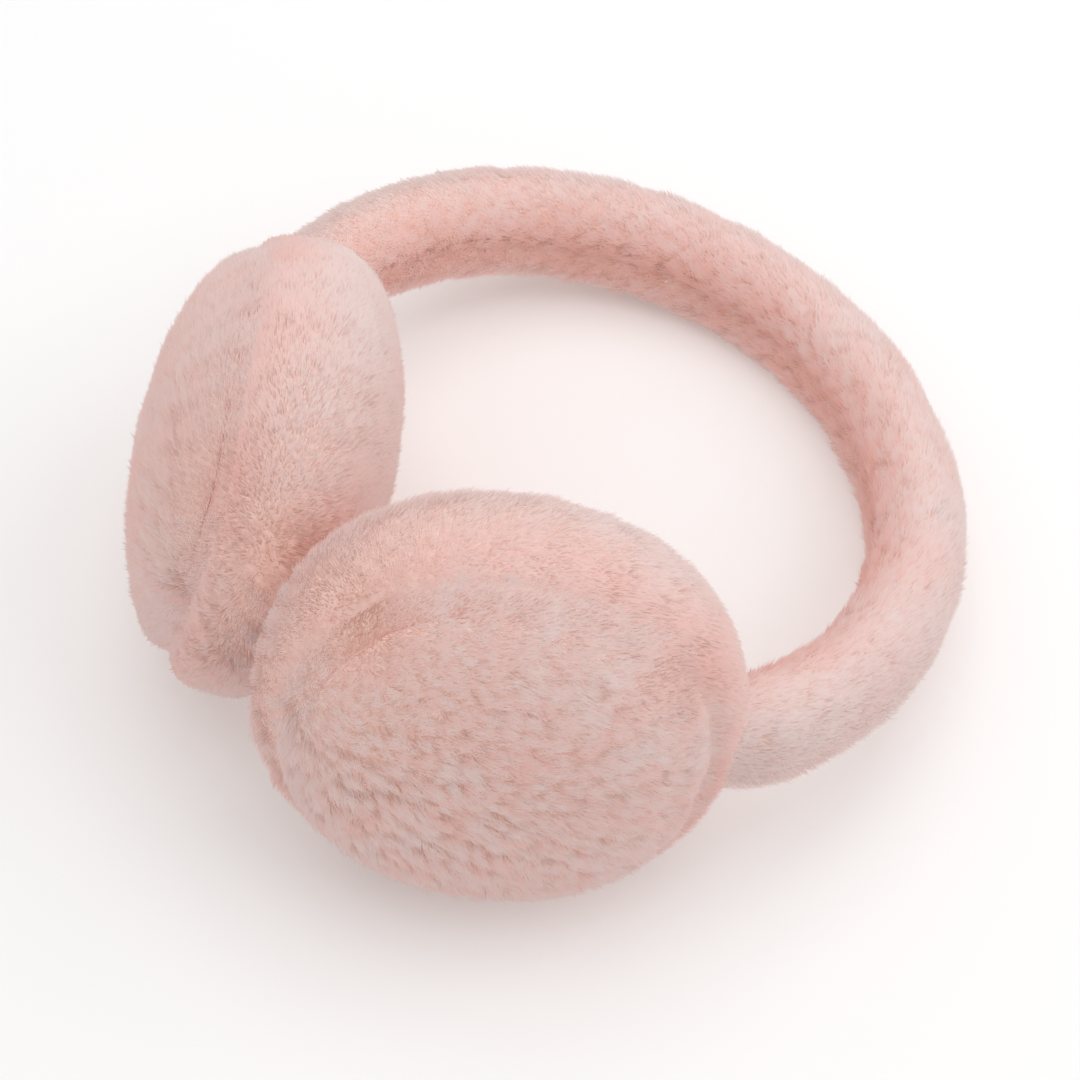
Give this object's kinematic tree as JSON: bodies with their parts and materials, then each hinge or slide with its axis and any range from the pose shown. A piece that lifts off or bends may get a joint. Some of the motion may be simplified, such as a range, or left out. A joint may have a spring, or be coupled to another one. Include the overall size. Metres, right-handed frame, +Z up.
{
  "type": "fur earmuffs",
  "caption": "Plush fur earmuffs: a padded fur headband bent round like a horseshoe, with a thick round fur pad at each end, lying on a table.",
  "frame": {"origin": "on the table that the earmuffs lie on, under the middle of their bounding box", "axes": "+X from the left pad to the right pad, +Y along the table from the pads to the crown of the band, +Z up off the table"},
  "size_m": [0.1979, 0.2052, 0.1125],
  "materials": {
    "band_plush": "deep soft plush pile, pale pink tips over salmon pink roots",
    "face_plush": "deep soft plush pile, pale pink tips over salmon pink roots",
    "cushion_plush": "deep soft plush pile, pale pink tips over salmon pink roots"
  },
  "bodies": {
    "root": {"headband_sleeve": "band_plush", "left_pad_face": "face_plush", "left_pad_cushion": "cushion_plush", "right_pad_face": "face_plush", "right_pad_cushion": "cushion_plush"}
  },
  "joints": []
}
